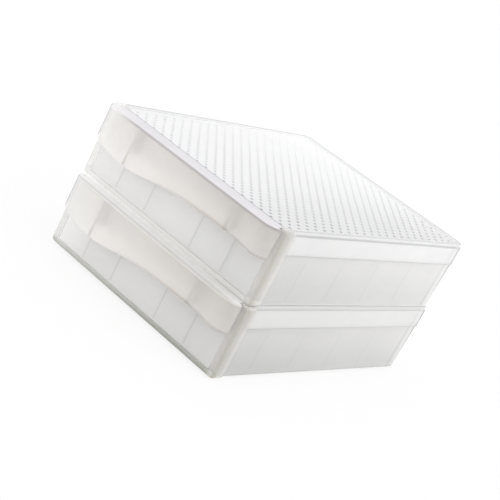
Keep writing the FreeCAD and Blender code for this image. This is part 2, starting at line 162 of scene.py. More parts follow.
def placeInTiers(piece, part, body, material):
    # the finished piece is the lower tier's, and a copy with its own mesh is the upper one's
    deselectAll()
    for tier, rise in tiers.items():
        copy = piece if tier == "lower" else bpy.data.objects.new("upper", piece.data.copy())
        copy.name = copy.data.name = f"{tier}{part[0].upper()}{part[1:]}Shell"
        if tier == "upper":
            bpy.context.scene.collection.objects.link(copy)
            copy.data.transform(Matrix.Translation((0, 0, rise)))
        copy.data.materials.clear()
        copy.data.materials.append(material)
        node = f"{tier}_{camelToNode(part)}"
        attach(copy, f"{tier}_{body}")
        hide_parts(node)
    print("made", part)


def camelToNode(part):
    # frontFrame becomes front_frame, and divider1 becomes divider_1
    return "".join(letter if letter.islower() else "_" + letter.lower() for letter in part)


# Node groups that every frosted material shares

skinPattern = {"fineShare": 0.8, "broadScale": 28.0, "cloudShare": 0.7, "stretch": (1.0, 0.25, 1.6)}


def newGroup(name, inputs, outputs):
    group = bpy.data.node_groups.new(name, "ShaderNodeTree")
    for label, kind, value in inputs:
        socket = group.interface.new_socket(name=label, in_out="INPUT", socket_type=kind)
        if value is not None:
            socket.default_value = value
    for label, kind in outputs:
        group.interface.new_socket(name=label, in_out="OUTPUT", socket_type=kind)
    nodes, links = group.nodes, group.links
    return group, nodes, links, nodes.new("NodeGroupInput"), nodes.new("NodeGroupOutput")


def mathNode(nodes, links, operation, a, b=None, clamp=False):
    node = nodes.new("ShaderNodeMath")
    node.operation = operation
    node.use_clamp = clamp
    for socket, value in zip(node.inputs, (a, b)):
        if value is None:
            continue
        if isinstance(value, (int, float)):
            socket.default_value = value
        else:
            links.new(value, socket)
    return node.outputs[0]


def noiseNode(nodes, links, vector, scale, detail, roughness=0.5):
    noise = nodes.new("ShaderNodeTexNoise")
    noise.inputs["Detail"].default_value = detail
    noise.inputs["Roughness"].default_value = roughness
    links.new(vector, noise.inputs["Vector"])
    if isinstance(scale, (int, float)):
        noise.inputs["Scale"].default_value = scale
    else:
        links.new(scale, noise.inputs["Scale"])
    return noise.outputs["Fac"]


def blendValues(nodes, links, first, second, share):
    # this share of the first value and the rest of the second
    return mathNode(nodes, links, "ADD", mathNode(nodes, links, "MULTIPLY", first, share),
                    mathNode(nodes, links, "MULTIPLY", second, 1 - share))


def makeFrostGrain():
    # the fine etched skin of the mould: a height for the bump and a roughness that follows it
    group, nodes, links, given, made = newGroup(
        "frostGrain",
        [("Place", "NodeSocketVector", None), ("Grain Scale", "NodeSocketFloat", 900.0),
         ("Roughness", "NodeSocketFloat", 0.42), ("Roughness Spread", "NodeSocketFloat", 0.12)],
        [("Height", "NodeSocketFloat"), ("Roughness", "NodeSocketFloat")])
    fine = noiseNode(nodes, links, given.outputs["Place"], given.outputs["Grain Scale"], 3, 0.65)
    broad = noiseNode(nodes, links, given.outputs["Place"], skinPattern["broadScale"], 2)
    links.new(blendValues(nodes, links, fine, broad, skinPattern["fineShare"]), made.inputs["Height"])
    swing = mathNode(nodes, links, "SUBTRACT", broad, 0.5)
    swing = mathNode(nodes, links, "MULTIPLY", swing, given.outputs["Roughness Spread"])
    links.new(mathNode(nodes, links, "ADD", swing, given.outputs["Roughness"], clamp=True),
              made.inputs["Roughness"])
    return group


def makeMilkiness():
    # cloudy flow in the plastic: a factor round 0.5 that drifts along the wall
    group, nodes, links, given, made = newGroup(
        "milkiness",
        [("Place", "NodeSocketVector", None), ("Cloud Scale", "NodeSocketFloat", 14.0),
         ("Streak Scale", "NodeSocketFloat", 60.0)],
        [("Cloud", "NodeSocketFloat")])
    cloud = noiseNode(nodes, links, given.outputs["Place"], given.outputs["Cloud Scale"], 3, 0.55)
    stretch = nodes.new("ShaderNodeMapping")
    stretch.inputs["Scale"].default_value = skinPattern["stretch"]
    links.new(given.outputs["Place"], stretch.inputs["Vector"])
    streak = noiseNode(nodes, links, stretch.outputs["Vector"], given.outputs["Streak Scale"], 2, 0.5)
    links.new(blendValues(nodes, links, cloud, streak, skinPattern["cloudShare"]), made.inputs["Cloud"])
    return group


def makeSlope():
    # 0 to 1 between two places along one direction
    group, nodes, links, given, made = newGroup(
        "slope",
        [("Place", "NodeSocketVector", None), ("Direction", "NodeSocketVector", (0, 0, 1)),
         ("Start", "NodeSocketFloat", 0.0), ("End", "NodeSocketFloat", 0.1)],
        [("Share", "NodeSocketFloat")])
    dot = nodes.new("ShaderNodeVectorMath")
    dot.operation = "DOT_PRODUCT"
    links.new(given.outputs["Place"], dot.inputs[0])
    links.new(given.outputs["Direction"], dot.inputs[1])
    span = nodes.new("ShaderNodeMapRange")
    span.interpolation_type = "SMOOTHSTEP"
    links.new(dot.outputs["Value"], span.inputs["Value"])
    links.new(given.outputs["Start"], span.inputs["From Min"])
    links.new(given.outputs["End"], span.inputs["From Max"])
    links.new(span.outputs["Result"], made.inputs["Share"])
    return group


frostGrain = makeFrostGrain()
milkiness = makeMilkiness()
slope = makeSlope()


def placeGroup(nodes, group, place, links, values):
    node = nodes.new("ShaderNodeGroup")
    node.node_tree = group
    links.new(place, node.inputs["Place"])
    for key, value in values.items():
        node.inputs[key].default_value = value
    return node


def mixColours(nodes, links, factor, first, second, blend="MIX"):
    node = nodes.new("ShaderNodeMix")
    node.data_type = "RGBA"
    node.blend_type = blend
    node.clamp_factor = True
    # inputs 6 and 7 are the two colours, and output 2 is the mixed one
    for socket, value in zip((node.inputs[0], node.inputs[6], node.inputs[7]), (factor, first, second)):
        if isinstance(value, (int, float)):
            socket.default_value = value
        elif isinstance(value, tuple):
            socket.default_value = value + (1.0,) if len(value) == 3 else value
        else:
            links.new(value, socket)
    return node.outputs[2]


def repeatInTiers(nodes, links, place):
    # the place measured from the bottom of its own tier, so that both tiers get the same painted shade
    split = nodes.new("ShaderNodeSeparateXYZ")
    join = nodes.new("ShaderNodeCombineXYZ")
    links.new(place, split.inputs[0])
    above = mathNode(nodes, links, "GREATER_THAN", split.outputs["Z"], tierPitch + seamRise)
    drop = mathNode(nodes, links, "MULTIPLY", above, tierPitch)
    links.new(split.outputs["X"], join.inputs["X"])
    links.new(split.outputs["Y"], join.inputs["Y"])
    links.new(mathNode(nodes, links, "SUBTRACT", split.outputs["Z"], drop), join.inputs["Z"])
    return join.outputs["Vector"]


def patchMask(nodes, links, slopes, places):
    # where all the slopes are high: each is a direction and the places in mm where it is 0 and 1,
    # measured in the piece's own tier, or in the whole object where the slope ends in a word
    inTier, whole = places
    mask = None
    for direction, start, end, *kind in slopes:
        share = placeGroup(nodes, slope, whole if kind else inTier, links,
                           {"Direction": direction, "Start": start * mm, "End": end * mm}).outputs["Share"]
        mask = share if mask is None else mathNode(nodes, links, "MULTIPLY", mask, share)
    return mask


def waveCurve(nodes, steps=24):
    # the flap's lower edge as a curve: share of the width in, share of the full drop out
    wave = nodes.new("ShaderNodeFloatCurve")
    line = wave.mapping.curves[0]
    places = [(2 * k / steps - 1) * handle["half"] for k in range(steps + 1)]
    drops = [waveDrop(handle, place) / handle["drop"] for place in places]
    line.points[0].location = (0, drops[0])
    line.points[1].location = (1, drops[-1])
    for k in range(1, steps):
        line.points.new(k / steps, drops[k])
    wave.mapping.update()
    return wave


def waveEdge(nodes, links, places, edge):
    # high along the flap's wavy lower edge, and more so towards one side, where a painted shade line lies
    split = nodes.new("ShaderNodeSeparateXYZ")
    links.new(places[0], split.inputs[0])
    along = mathNode(nodes, links, "DIVIDE", split.outputs["X"], 2 * handle["half"] * mm)
    wave = waveCurve(nodes)
    links.new(mathNode(nodes, links, "ADD", along, 0.5), wave.inputs["Value"])
    low = mathNode(nodes, links, "SUBTRACT", handle["top"] * mm,
                   mathNode(nodes, links, "MULTIPLY", wave.outputs["Value"], handle["drop"] * mm))
    rise = mathNode(nodes, links, "SUBTRACT", split.outputs["Z"], low)
    span = nodes.new("ShaderNodeMapRange")
    span.interpolation_type = "SMOOTHSTEP"
    links.new(rise, span.inputs["Value"])
    span.inputs["From Min"].default_value = (edge["height"] + edge["fade"]) * mm
    span.inputs["From Max"].default_value = edge["height"] * mm
    side = patchMask(nodes, links, [(across, edge["from"], edge["to"])], places)
    return mathNode(nodes, links, "MULTIPLY", span.outputs["Result"], side)


def shadedColour(nodes, links, look, cloud, places):
    # the cloudy colour, darkened by painted shade where the masks say and along the flap's wave
    colour = mixColours(nodes, links, mathNode(nodes, links, "MULTIPLY", cloud, look["cloud"]),
                        look["colour"], look["cloudColour"])
    for slopes, tint in look["paintedShades"]:
        colour = mixColours(nodes, links, patchMask(nodes, links, slopes, places), colour, tint, "MULTIPLY")
    if look["edge"]:
        mask = waveEdge(nodes, links, places, look["edge"])
        colour = mixColours(nodes, links, mask, colour, look["edge"]["tint"], "MULTIPLY")
    return colour


def bodyAlpha(nodes, links, look, cloud, places):
    drift = mathNode(nodes, links, "SUBTRACT", cloud, 0.5)
    body = mathNode(nodes, links, "MULTIPLY", drift, look["alphaSpread"])
    body = mathNode(nodes, links, "ADD", body, look["alpha"])
    for slopes, more in look["denser"]:
        mask = patchMask(nodes, links, slopes, places)
        body = mathNode(nodes, links, "ADD", body, mathNode(nodes, links, "MULTIPLY", mask, more))
    return mathNode(nodes, links, "ADD", body, 0.0, clamp=True)


def addGlow(nodes, links, glow, colour, places, shader):
    # painted light: a faint glow of the piece's own colour, which lightens places that lie in shade
    masks = [mathNode(nodes, links, "MULTIPLY", patchMask(nodes, links, slopes, places), more)
             for slopes, more in glow]
    strongest = masks[0]
    for mask in masks[1:]:
        strongest = mathNode(nodes, links, "MAXIMUM", strongest, mask)
    links.new(mixColours(nodes, links, strongest, grey(0.0), colour), shader.inputs["Emission Color"])
    shader.inputs["Emission Strength"].default_value = 1.0


def etchSkin(nodes, links, look, whole, shader):
    grain = placeGroup(nodes, frostGrain, whole, links,
                       {"Grain Scale": look["grainScale"], "Roughness": look["roughness"]})
    links.new(grain.outputs["Roughness"], shader.inputs["Roughness"])
    bump = nodes.new("ShaderNodeBump")
    bump.inputs["Strength"].default_value = look["bump"]
    bump.inputs["Distance"].default_value = look["bumpDepth"] * mm
    links.new(grain.outputs["Height"], bump.inputs["Height"])
    links.new(bump.outputs["Normal"], shader.inputs["Normal"])


def frosted(name, look):
    # milky translucent plastic: painted shade that changes along the piece, a painted glow where the look
    # has one, cloudy flow and a fine etched skin
    material = bpy.data.materials.new(name)
    material.use_nodes = True
    nodes, links = material.node_tree.nodes, material.node_tree.links
    shader = nodes["Principled BSDF"]
    whole = nodes.new("ShaderNodeTexCoord").outputs["Object"]
    places = (repeatInTiers(nodes, links, whole), whole)
    cloud = placeGroup(nodes, milkiness, whole, links, {"Cloud Scale": look["cloudScale"]}).outputs["Cloud"]
    colour = shadedColour(nodes, links, look, cloud, places)
    links.new(colour, shader.inputs["Base Color"])
    links.new(bodyAlpha(nodes, links, look, cloud, places), shader.inputs["Alpha"])
    if look["glow"]:
        addGlow(nodes, links, look["glow"], colour, places, shader)
    etchSkin(nodes, links, look, whole, shader)
    shader.inputs["IOR"].default_value = look["ior"]
    shader.inputs["Specular IOR Level"].default_value = look["specular"]
    return material


def grey(share):
    return (share, share, share)


def band(direction, start, full, last, end, *kind):
    # two slopes: high from full to last, nothing before start and after end
    return [(direction, start, full, *kind), (direction, end, last, *kind)]


# the directions that the patches are measured along, and the slopes that more than one piece uses
across, back, up = (1, 0, 0), (0, 1, 0), (0, 0, 1)
postCorner, sillCorner = (0.7071, -0.7071, 0), (0, -0.7071, -0.7071)
leftCorner, rightCorner = (-0.834, -0.551, 0), (0.834, 0.551, 0)
inLower, lowerOnly, upperOnly = (up, 74, 66, "whole"), (up, 74, 73, "whole"), (up, 72, 74, "whole")
nearShelf, sillOnly = (up, 20, 10, "whole"), (up, 12, 8, "whole")
seamBand, lowerLedge = band(up, 69, 70, 77, 80, "whole"), band(up, 71.4, 71.8, 72.0, 72.1, "whole")
# rearLine: where a painted shade line runs near the rear of the side walls; crease: the step between the
# lid's shoulder and its rim, where painted shade falls
rearLine, crease = band(back, 131.5, 133, 136.5, 138), band(up, 67.3, 67.9, 69.0, 69.6)
# painted shade: the lower tier a little darker than the upper one
lowerShade = ([inLower], (0.955, 0.955, 0.95))
plain = {"colour": (0.97, 0.97, 0.965), "cloudColour": grey(0.99), "cloud": 0.5, "cloudScale": 14.0,
         "alpha": 0.42, "alphaSpread": 0.12, "grainScale": 900.0, "roughness": 0.34, "bump": 0.15,
         "bumpDepth": 0.12, "ior": 1.45, "specular": 0.35, "paintedShades": [lowerShade], "denser": [], "glow": [],
         "edge": None}


# Housing: the sleeve, with a shoulder where the lid's skirt meets it

ribShades = (-89.1, -33.6, 21.8, 77.3)  # where the guide ribs darken the outer wall, a little ahead of each
housing = {"half": 107.5, "front": -125.5, "back": 151.7, "bottom": 2.2, "shoulder": 50.0, "lean": 1.2,
           "corner": 8.0, "base": 1.2, "neckHalf": 105.9, "neckBack": 150.1, "neckTop": 66.1, "wall": 1.8,
           "ribHalf": 102.1, "ribWidth": 2.0, "ribShares": [0.2, 0.4, 0.6, 0.8], "ribShift": 12.0,
           "glide": 70.0, "glideWidth": 3.0, "glideTop": 7.2, "runOut": 20.0, "soft": 0.35, "ribSoft": 0.3,
           "look": {**plain, "alpha": 0.5, "colour": (1.0, 0.995, 0.99),
                    # painted shade: darker towards the bottom and the front, dark lines near the rear, at
                    # the rear right corner, along the foot and where the ribs meet the wall, and the ribs'
                    # shade on the outer wall
                    "paintedShades": [lowerShade, ([(up, 48, 2)], (0.90, 0.905, 0.90)),
                              ([(back, 110, -125)], (0.91, 0.91, 0.905)),
                              ([(back, 134, 132)], grey(0.975)),
                              (rearLine, (0.86, 0.86, 0.865)),
                              ([(rightCorner, 168.3, 168.9)], (0.36, 0.36, 0.37)),
                              ([(up, 4.4, 2.6), nearShelf], (0.86, 0.87, 0.86)),
                              ([(up, 4.6, 3.4), nearShelf], (0.74, 0.75, 0.74)),
                              (band(across, -104.0, -103.7, 103.7, 104.0) + [(up, 6, 7), (back, 147, 146)],
                               (0.55, 0.55, 0.54))]
                             + [(band(back, y - 1.6, y - 0.4, y + 0.4, y + 1.6) + band(up, 4, 8, 40, 49),
                                 grey(0.945)) for y in ribShades],
                    # painted light: a faint glow along the upper tier's floor, over the gap between the
                    # tiers
                    "glow": [([(up, 3.8, 3.0), (up, 71, 72, "whole")], 0.36)]}}


def makeHousing(size):
    start = size["front"] - size["runOut"]
    shell = addBlock("housing", (-size["half"], start, size["bottom"]),
                     (size["half"], size["back"], size["shoulder"]))
    roundOff(shell, size["corner"], 8, uprightBehind)
    choose(shell, "VERT", lambda vert: near(vert.co.z, size["bottom"]))
    shrink = (size["half"] - size["lean"]) / size["half"]
    bpy.ops.transform.resize(value=(shrink, 1, 1), center_override=(0, 0, 0))
    choose(shell, "VERT", lambda vert: near(vert.co.z, size["bottom"]) and vert.co.y > 0)
    bpy.ops.transform.translate(value=(0, -size["lean"] * mm, 0))
    roundOff(shell, size["base"], 4, lambda edge: flatAt(edge, 2, size["bottom"])
             and not flatAt(edge, 1, start))
    choose(shell, "FACE", lambda face: flatAt(face, 2, size["shoulder"]))
    bpy.ops.mesh.inset(thickness=(size["half"] - size["neckHalf"]) * mm)
    extrudeBy(0, 0, size["neckTop"] - size["shoulder"])
    bpy.ops.mesh.delete(type="FACE")
    cutAt(shell, (0, size["front"], 0), (0, -1, 0), clear=True)
    applyModifier(shell, "SOLIDIFY", thickness=size["wall"] * mm, offset=-1, use_even_offset=True)
    softenEdges(shell, size["soft"])
    joinPieces(shell, housingRibs(size))
    return shell


def housingRibs(size):
    ribs = []
    depth = size["back"] - size["front"]
    floor = size["bottom"] + size["wall"] - hair
    for side in (-1, 1):
        xs = sorted((side * size["ribHalf"], side * (size["neckHalf"] - size["wall"] + hair)))
        for share in size["ribShares"]:
            y = size["front"] - size["ribShift"] + depth * share
            ribs.append(addBlock("rib", (xs[0], y - size["ribWidth"] / 2, floor),
                                 (xs[1], y + size["ribWidth"] / 2, size["shoulder"])))
        x = side * size["glide"]
        ribs.append(addBlock("glide", (x - size["glideWidth"] / 2, size["front"] + hair, floor),
                             (x + size["glideWidth"] / 2, size["neckBack"] - size["wall"],
                              size["glideTop"])))
    for rib in ribs:
        softenEdges(rib, size["ribSoft"])
    return ribs


# Front frame: posts, sill and the rail behind the drawer's tall front

frontFrame = {"half": 110.0, "front": -137.5, "back": -125.5, "bottom": 2.2, "top": 71.9, "corner": 4.0,
              "edge": 1.6, "openHalf": 102.0, "openRound": 1.5, "sill": 7.2, "railLow": 62.0,
              "railTop": 67.4, "railFront": -134.7, "seatOverlap": 1.0, "soft": 0.45,
              "look": {**plain, "colour": (0.93, 0.925, 0.90), "alpha": 0.5,
                       # painted shade: a darker right post, a darker seam between the tiers, dark lines
                       # along the sill's lower edge and at the post's corner
                       "paintedShades": [lowerShade, ([(across, 99, 103)], (0.89, 0.87, 0.86)),
                                 (seamBand, grey(0.965)),
                                 (seamBand + [(across, -80, 90)], (0.93, 0.93, 0.92)),
                                 ([(across, -60, 100), sillOnly, (sillCorner, 89.5, 92)],
                                  (0.845, 0.85, 0.825)),
                                 ([(postCorner, 171.8, 173.4)], (0.70, 0.70, 0.655)),
                                 ([(sillCorner, 91.0, 93.2), sillOnly, (across, 107, 98)],
                                  (0.66, 0.66, 0.64)),
                                 ([(sillCorner, 89.4, 92.2), sillOnly] + band(across, -100, 60, 98, 107),
                                  (0.76, 0.76, 0.74))],
                       "denser": [([(postCorner, 171.8, 173.4)], 0.25),
                                  ([(sillCorner, 91.4, 93.4), sillOnly], 0.25),
                                  (seamBand, 0.3)],
                       # painted light: a faint glow in the seam between the tiers, fading towards the right
                       "glow": [(band(up, 70.6, 71.2, 72.8, 73.6, "whole") + [(across, 103, 20)], 0.2)]}}


def makeFrontFrame(size):
    rim = addBlock("frontFrame", (-size["half"], size["front"], size["bottom"]),
                   (size["half"], size["back"], size["top"]))
    roundOff(rim, size["corner"], 6, lambda edge: runsAlong(edge, 1))
    roundOff(rim, size["edge"], 4, lambda edge: flatAt(edge, 1, size["front"]))
    opening = addBlock("opening", (-size["openHalf"], size["front"] - past, size["sill"]),
                       (size["openHalf"], size["back"] + past, size["railLow"]))
    roundOff(opening, size["openRound"], 3, lambda edge: runsAlong(edge, 1))
    subtract(rim, opening)
    subtract(rim, addBlock("frontSeat",
                           (-size["openHalf"], size["front"] - past, size["railLow"] - size["openRound"]),
                           (size["openHalf"], size["railFront"], size["top"] + past)))
    subtract(rim, addBlock("panelSeat",
                           (-size["openHalf"], size["railFront"] - size["seatOverlap"], size["railTop"]),
                           (size["openHalf"], size["back"] + past, size["top"] + past)))
    softenEdges(rim, size["soft"])
    return rim


# Lid frame: the skirt, the shoulder, the stacking rim and the ledge that the dotted panel lies on

lidFrame = {"half": 108.3, "front": -125.2, "back": 152.5, "low": 50.3, "shoulder": 68.2, "corner": 8.8,
            "shoulderRound": 1.2, "rimIn": 1.3, "rimWidth": 2.0, "rimTop": 71.9, "seat": 67.7, "ledge": 2.0,
            "under": 66.4, "wall": 2.1, "runOut": 20.0, "soft": 0.3,
            "look": {**plain, "colour": grey(0.98), "alpha": 0.6,
                     # painted shade: darker towards the front, dark lines at the rear right corner, near the
                     # rear, on the rim's top, in the step under the rim and along the skirt's lower lip
                     "paintedShades": [lowerShade, ([(back, 110, -125)], grey(0.95)),
                               ([(rightCorner, 169.1, 169.7)], (0.50, 0.50, 0.52)),
                               (rearLine + [(up, 67, 66)], (0.94, 0.94, 0.945)),
                               ([(up, 71.2, 71.6)], (0.74, 0.74, 0.76)),
                               (crease + [upperOnly], (0.80, 0.80, 0.81)),
                               (crease + [(up, 74, 72, "whole")], grey(0.89)),
                               ([(up, 69.8, 70.4), lowerOnly], grey(0.91)),
                               ([(up, 51.6, 50.4)], grey(0.82))],
                     # painted light: a faint glow on the lower lid's rim top, short of the right end
                     "glow": [([(up, 71.4, 71.8), lowerOnly, (across, 100, 103)], 0.15)]}}


def makeLidFrame(size):
    skirt = addBlock("lidFrame", (-size["half"], size["front"] - size["runOut"], size["low"]),
                     (size["half"], size["back"], size["shoulder"]))
    roundOff(skirt, size["corner"], 8, uprightBehind)
    choose(skirt, "FACE", lambda face: flatAt(face, 2, size["shoulder"]))
    for width, rise in ((size["rimIn"], size["rimTop"] - size["shoulder"]),
                        (size["rimWidth"], size["seat"] - size["rimTop"]),
                        (size["ledge"], size["under"] - size["seat"])):
        bpy.ops.mesh.inset(thickness=width * mm)
        extrudeBy(0, 0, rise)
    bpy.ops.mesh.delete(type="FACE")
    choose(skirt, "FACE", lambda face: flatAt(face, 2, size["low"]))
    bpy.ops.mesh.inset(thickness=size["wall"] * mm)
    extrudeBy(0, 0, size["under"] - size["low"])
    bpy.ops.mesh.inset(thickness=(size["rimIn"] + size["rimWidth"] + size["ledge"] - size["wall"]) * mm)
    bpy.ops.mesh.delete(type="FACE")
    choose(skirt, "VERT", lambda vert: True)
    bpy.ops.mesh.remove_doubles(threshold=slack * mm)
    cutAt(skirt, (0, size["front"], 0), (0, -1, 0), clear=True, fill=True)
    roundOff(skirt, size["shoulderRound"], 4, lambda edge: flatAt(edge, 2, size["shoulder"])
             and all(onOutside(vert.co, size) for vert in edge.verts))
    softenEdges(skirt, size["soft"])
    return skirt


def onOutside(place, size):
    # on the skirt's outside, not where the rim rises
    if abs(place.x) > (size["half"] - hair) * mm or place.y > (size["back"] - hair) * mm:
        return True
    cornerX, cornerY = size["half"] - size["corner"], size["back"] - size["corner"]
    fromCorner = place.xy - Vector((math.copysign(cornerX, place.x), cornerY)) * mm
    return place.y > cornerY * mm and fromCorner.length > (size["corner"] - hair) * mm


# Drawer: the tray with its tall front, the divider guides and the stops

def dividerLine(x, start, full):
    # the painted shade line where a divider stands behind the drawer's front, from the height given up to
    # its top
    return (band(across, x - 1.6, x - 0.3, x + 0.3, x + 1.6) + band(up, start, full, 48, 50)
            + [(back, -134.8, -134.9)])


drawer = {"half": 101.7, "front": -137.5, "trayFront": -135.0, "back": 144.3, "bottom": 7.5, "rim": 61.0,
          "frontTop": 70.1, "corner": 6.0, "base": 2.5, "wall": 1.8, "guideTop": 46.3, "guideDepth": 1.6,
          "guideGap": 1.1, "guideThick": 1.2, "dividers": [-68.0, -29.5, 29.5, 68.0], "frontRound": 1.2,
          "stopFront": 74.8, "stopLength": 8.0, "stopWidth": 3.0, "stopTop": 64.5,
          "soft": 0.35, "frontSoft": 0.4, "ribSoft": 0.25}
# painted shade: the two left divider lines are drawn dark from these heights up, behind the flap
behindFlap = (30, 39.5)  # the heights from which the two left lines go on behind the flap
drawer["look"] = {**plain, "colour": (0.97, 0.965, 0.96), "alpha": 0.3, "alphaSpread": 0.08,
                  # painted shade: darker towards the right, the front guides drawn dark behind the front,
                  # the dividers' contact shade on the front, and dark lines behind the flap
                  "paintedShades": [([inLower], (0.98, 0.98, 0.975)), ([(across, -90, 60)], grey(0.92)),
                            ([(across, 20, 105)], grey(0.90)),
                            (band(back, -134.8, -134.6, -133.0, -132.6) + [(up, 9.6, 9.9)], grey(0.6))]
                           + [(dividerLine(x, 9, 10), (0.885, 0.885, 0.89)) for x in drawer["dividers"]]
                           + [(dividerLine(x, low, low + 2), grey(0.4))
                              for x, low in zip(drawer["dividers"], behindFlap)],
                  "denser": [([(back, -133.5, -134.8)], 0.42)],
                  # painted light: a faint glow on the left of the lower drawer's front
                  "glow": [([(across, -60, -100), (back, -134.8, -134.9), inLower], 0.06)]}


def makeDrawer(size):
    tray = addBlock("drawer", (-size["half"], size["trayFront"], size["bottom"]),
                    (size["half"], size["back"], size["rim"]))
    roundOff(tray, size["corner"], 7, uprightBehind)
    roundOff(tray, size["base"], 4, lambda edge: flatAt(edge, 2, size["bottom"]))
    deleteFaces(tray, lambda face: flatAt(face, 2, size["rim"]) or flatAt(face, 1, size["trayFront"]))
    applyModifier(tray, "SOLIDIFY", thickness=size["wall"] * mm, offset=-1, use_even_offset=True)
    softenEdges(tray, size["soft"])
    face = addBlock("face", (-size["half"], size["front"], size["bottom"]),
                    (size["half"], size["trayFront"] + hair / 2, size["frontTop"]))
    roundOff(face, size["frontRound"], 4, lambda edge: runsAlong(edge, 1))
    softenEdges(face, size["frontSoft"])
    joinPieces(tray, [face] + drawerRibs(size))
    return tray


def drawerRibs(size):
    ribs = []
    inBack = size["back"] - size["wall"]
    floor = size["bottom"] + size["wall"] - hair
    for centre in size["dividers"]:
        for side in (-1, 1):
            xs = sorted((centre + side * size["guideGap"],
                         centre + side * (size["guideGap"] + size["guideThick"])))
            for low, high in ((size["trayFront"] + hair / 2, size["trayFront"] + size["guideDepth"]),
                              (inBack - size["guideDepth"], inBack + hair)):
                ribs.append(addBlock("guide", (xs[0], low, floor), (xs[1], high, size["guideTop"])))
    for side in (-1, 1):
        xs = sorted((side * size["half"], side * (size["half"] - size["stopWidth"])))
        ribs.append(addBlock("stop", (xs[0], size["stopFront"], size["rim"] - hair),
                             (xs[1], size["stopFront"] + size["stopLength"], size["stopTop"])))
    for rib in ribs:
        softenEdges(rib, size["ribSoft"])
    return ribs


# Handle: the ledge, the wave-edged flap with its bead, and the gussets behind it

ledgeTop, belowLedge = (up, 71.1, 71.5), (up, 71.5, 71.1)
gussetShade = [(back, -150.3, -149.9), (up, 69, 66)]
gussetPlaces = (-61.5, 61.5)
handle = {"half": 107.0, "front": -152.5, "back": -142.3, "top": 71.9, "corner": 15.0, "seatHalf": 101.7,
          "seatBack": -135.0, "drop": 37.5, "wall": 1.8, "bead": 2.4, "beadThick": 2.6, "ledgeRound": 2.0,
          "columns": 44, "gussets": gussetPlaces, "gussetThick": 2.4, "gussetDrop": 26.8, "spareLow": 5.0,
          "runOut": 30.0, "soft": 0.55, "gussetSoft": 0.4,
          "waveShares": [(-0.52, 0.64), (-0.47, 0.77), (-0.41, 0.905), (-0.36, 0.955), (-0.29, 1.0),
                         (-0.24, 0.985), (-0.17, 0.93), (-0.08, 0.83), (0.04, 0.745), (0.15, 0.71),
                         (0.26, 0.69), (0.35, 0.70), (0.43, 0.745), (0.48, 0.75), (0.52, 0.73)],
          "look": {**plain, "colour": grey(0.95), "alpha": 0.44,
                   # painted shade: the flap warmer and darker to the right below the ledge and darker at its
                   # right end, dark lines at the left corner and the ledges' edges, a faint lavender cast on
                   # the upper ledge, and the gussets' shade seen through the flap
                   "paintedShades": [([(across, -60, -100), inLower], (0.965, 0.97, 0.975)),
                             ([(across, -101, -90), belowLedge], (1.0, 0.975, 0.953)),
                             ([(across, -100, 95), belowLedge], (0.85, 0.84, 0.825)),
                             ([(across, 88, 104), belowLedge], (0.86, 0.86, 0.85)),
                             ([(leftCorner, 165.8, 166.8)], (0.42, 0.42, 0.43)),
                             ([ledgeTop, (across, -112, -92)], grey(0.905)),
                             ([ledgeTop, lowerOnly, (across, -80, 90)], (0.92, 0.915, 0.91)),
                             ([(up, 141.1, 141.5, "whole"), (across, -108, -85)], (0.965, 0.945, 0.985)),
                             ([(up, 69.4, 70.2), (back, -148.6, -150.2), (up, 74, 72, "whole")],
                              (0.88, 0.88, 0.87)),
                             (band(up, 139.6, 140.0, 141.4, 141.7, "whole") + [(across, -100, -60)],
                              (0.60, 0.59, 0.60))]
                            + [(gussetShade + band(across, x - 1.7, x - 1.3, x + 1.3, x + 1.7),
                                (0.5, 0.47, 0.44)) for x in gussetPlaces],
                   "denser": [([(up, 69.8, 70.2)], 0.4),
                              (band(across, -66, -65, 65, 66)
                               + [(back, -150.4, -150.0), (up, 70, 69.7)], 0.4)],
                   # painted shade: a dark line along the wave's lower edge, stronger towards the right
                   "edge": {"tint": (0.79, 0.78, 0.76), "height": 1.4, "fade": 1.0, "from": -60, "to": 60},
                   # painted light: a faint glow on the lower tier's ledge, in the seam between the tiers
                   "glow": [(lowerLedge + [(back, -144, -138)], 0.22),
                            (lowerLedge + [(back, -150.5, -146)], 0.12)]}}


def waveDrop(size, x):
    # how far the wave lies below the ledge: a smooth curve through its points, which are shares of the
    # frame's width and of the full drop
    points = size["waveShares"]
    place = x / (2 * frontFrame["half"])
    k = max(i for i in range(len(points) - 1) if points[i][0] <= place or i == 0)
    (x0, y0), (x1, y1) = points[k], points[k + 1]
    before = points[k - 1] if k > 0 else points[k]
    after = points[k + 2] if k + 2 < len(points) else points[k + 1]
    s = (place - x0) / (x1 - x0)
    slope0 = (y1 - before[1]) / (x1 - before[0]) * (x1 - x0)
    slope1 = (after[1] - y0) / (after[0] - x0) * (x1 - x0)
    return size["drop"] * ((2 * s ** 3 - 3 * s ** 2 + 1) * y0 + (s ** 3 - 2 * s ** 2 + s) * slope0
                           + (-2 * s ** 3 + 3 * s ** 2) * y1 + (s ** 3 - s ** 2) * slope1)


